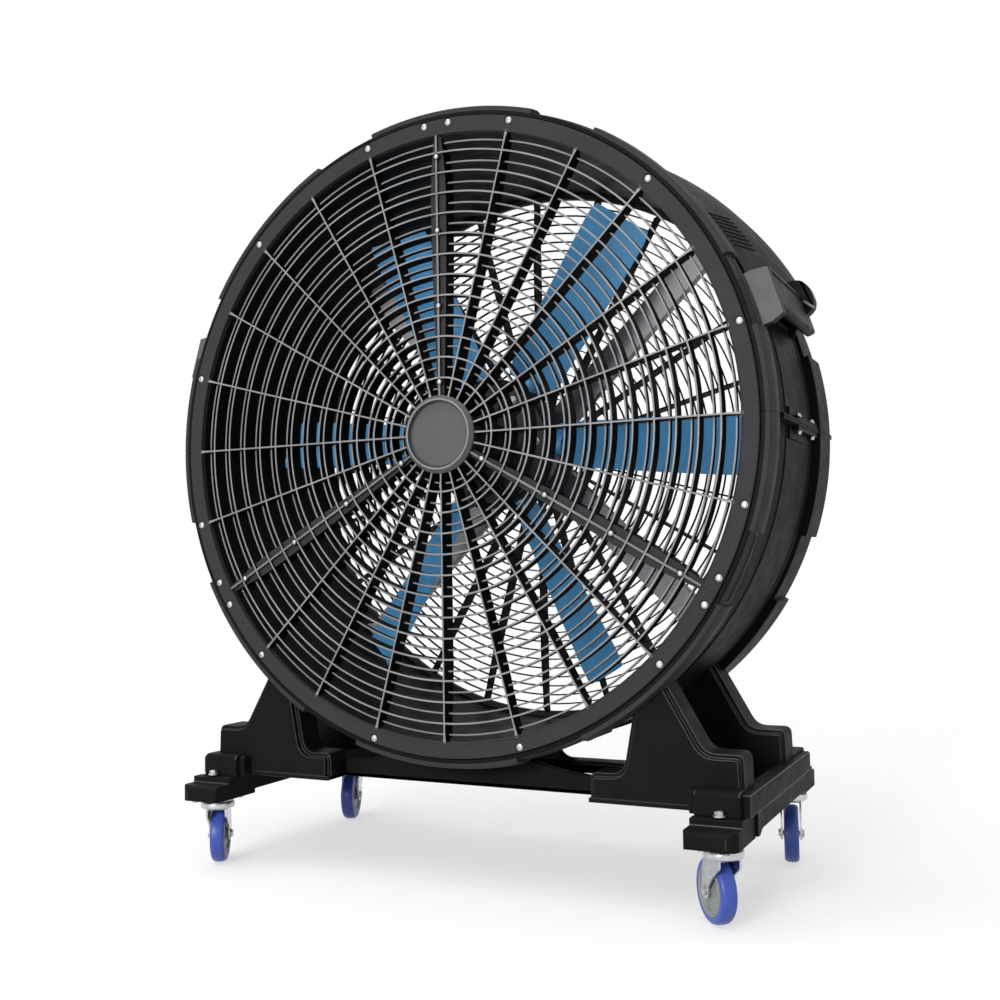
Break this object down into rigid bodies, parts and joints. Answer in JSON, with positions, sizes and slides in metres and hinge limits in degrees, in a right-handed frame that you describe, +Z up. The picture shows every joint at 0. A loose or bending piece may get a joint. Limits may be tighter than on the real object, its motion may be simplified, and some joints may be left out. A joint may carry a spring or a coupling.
{
  "type": "drum fan",
  "caption": "Wheeled drum fan: round plastic drum with moulded guards, a blue-bladed impeller on a motor, side handles, pedestals and swivel casters.",
  "frame": {"origin": "on the floor under the middle of the drum", "axes": "+Z up; -Y out of the drum's mouth, along the drum's axis; +X to the right as seen from the mouth"},
  "size_m": [1.4466, 0.71, 1.657],
  "materials": {
    "shell_plastic": "satin",
    "guard_plastic": "satin",
    "cap_plastic": "satin",
    "handle_plastic": "satin",
    "motor_paint": "satin",
    "dark_metal": "satin",
    "blade_plastic": "glossy",
    "zinc": "zinc plated",
    "wheel_plastic": "satin",
    "wheel_tread": "satin"
  },
  "bodies": {
    "stand_and_drum": {"upper_shell": "shell_plastic", "lower_shell": "shell_plastic", "side_rail_right": "shell_plastic", "side_rail_left": "shell_plastic", "cross_beam_front": "shell_plastic", "cross_beam_rear": "shell_plastic", "pedestal_right": "shell_plastic", "pedestal_left": "shell_plastic", "foot_front_right": "shell_plastic", "foot_front_left": "shell_plastic", "foot_rear_right": "shell_plastic", "foot_rear_left": "shell_plastic", "front_guard_1": "guard_plastic", "front_guard_2": "guard_plastic", "front_guard_3": "guard_plastic", "rear_guard": "guard_plastic", "front_cap": "cap_plastic", "rear_cap": "cap_plastic", "handle_right": "handle_plastic", "handle_left": "handle_plastic", "motor_bell": "motor_paint", "motor_body": "motor_paint", "motor_plate": "motor_paint", "strut_1": "motor_paint", "strut_2": "motor_paint", "strut_3": "motor_paint", "strut_4": "motor_paint", "terminal_box": "dark_metal", "caster_front_right_plate": "zinc", "caster_front_left_plate": "zinc", "caster_rear_left_plate": "zinc", "caster_rear_right_plate": "zinc"},
    "impeller": {"impeller_hub": "dark_metal", "hub_nose": "dark_metal", "motor_shaft": "zinc", "blade_1": "blade_plastic", "blade_2": "blade_plastic", "blade_3": "blade_plastic", "blade_4": "blade_plastic", "blade_5": "blade_plastic", "blade_6": "blade_plastic"},
    "fork_front_right": {"caster_front_right_fork": "zinc", "caster_front_right_axle": "zinc"},
    "wheel_front_right": {"caster_front_right_wheel": "wheel_plastic", "caster_front_right_tread": "wheel_tread"},
    "fork_front_left": {"caster_front_left_fork": "zinc", "caster_front_left_axle": "zinc"},
    "wheel_front_left": {"caster_front_left_wheel": "wheel_plastic", "caster_front_left_tread": "wheel_tread"},
    "fork_rear_left": {"caster_rear_left_fork": "zinc", "caster_rear_left_axle": "zinc"},
    "wheel_rear_left": {"caster_rear_left_wheel": "wheel_plastic", "caster_rear_left_tread": "wheel_tread"},
    "fork_rear_right": {"caster_rear_right_fork": "zinc", "caster_rear_right_axle": "zinc"},
    "wheel_rear_right": {"caster_rear_right_wheel": "wheel_plastic", "caster_rear_right_tread": "wheel_tread"}
  },
  "joints": [
    {"name": "impeller_spin", "type": "hinge", "parent": "stand_and_drum", "child": "impeller", "pos_m": [0, -0.005, 0.95], "axis": [0, 1, 0], "continuous": true},
    {"name": "swivel_front_right", "type": "hinge", "parent": "stand_and_drum", "child": "fork_front_right", "pos_m": [0.59, -0.28, 0.133], "axis": [0, 0, 1], "continuous": true},
    {"name": "roll_front_right", "type": "hinge", "parent": "fork_front_right", "child": "wheel_front_right", "pos_m": [0.56662, -0.25262, 0.0625], "axis": [-0.7604, -0.6494, 0], "continuous": true},
    {"name": "swivel_front_left", "type": "hinge", "parent": "stand_and_drum", "child": "fork_front_left", "pos_m": [-0.59, -0.28, 0.133], "axis": [0, 0, 1], "continuous": true},
    {"name": "roll_front_left", "type": "hinge", "parent": "fork_front_left", "child": "wheel_front_left", "pos_m": [-0.60849, -0.24911, 0.0625], "axis": [-0.8581, -0.5135, 0], "continuous": true},
    {"name": "swivel_rear_left", "type": "hinge", "parent": "stand_and_drum", "child": "fork_rear_left", "pos_m": [-0.59, 0.28, 0.133], "axis": [0, 0, 1], "continuous": true},
    {"name": "roll_rear_left", "type": "hinge", "parent": "fork_rear_left", "child": "wheel_rear_left", "pos_m": [-0.57716, 0.24637, 0.0625], "axis": [0.9342, 0.3567, 0], "continuous": true},
    {"name": "swivel_rear_right", "type": "hinge", "parent": "stand_and_drum", "child": "fork_rear_right", "pos_m": [0.59, 0.28, 0.133], "axis": [0, 0, 1], "continuous": true},
    {"name": "roll_rear_right", "type": "hinge", "parent": "fork_rear_right", "child": "wheel_rear_right", "pos_m": [0.59785, 0.24487, 0.0625], "axis": [0.9759, 0.2181, 0], "continuous": true}
  ]
}
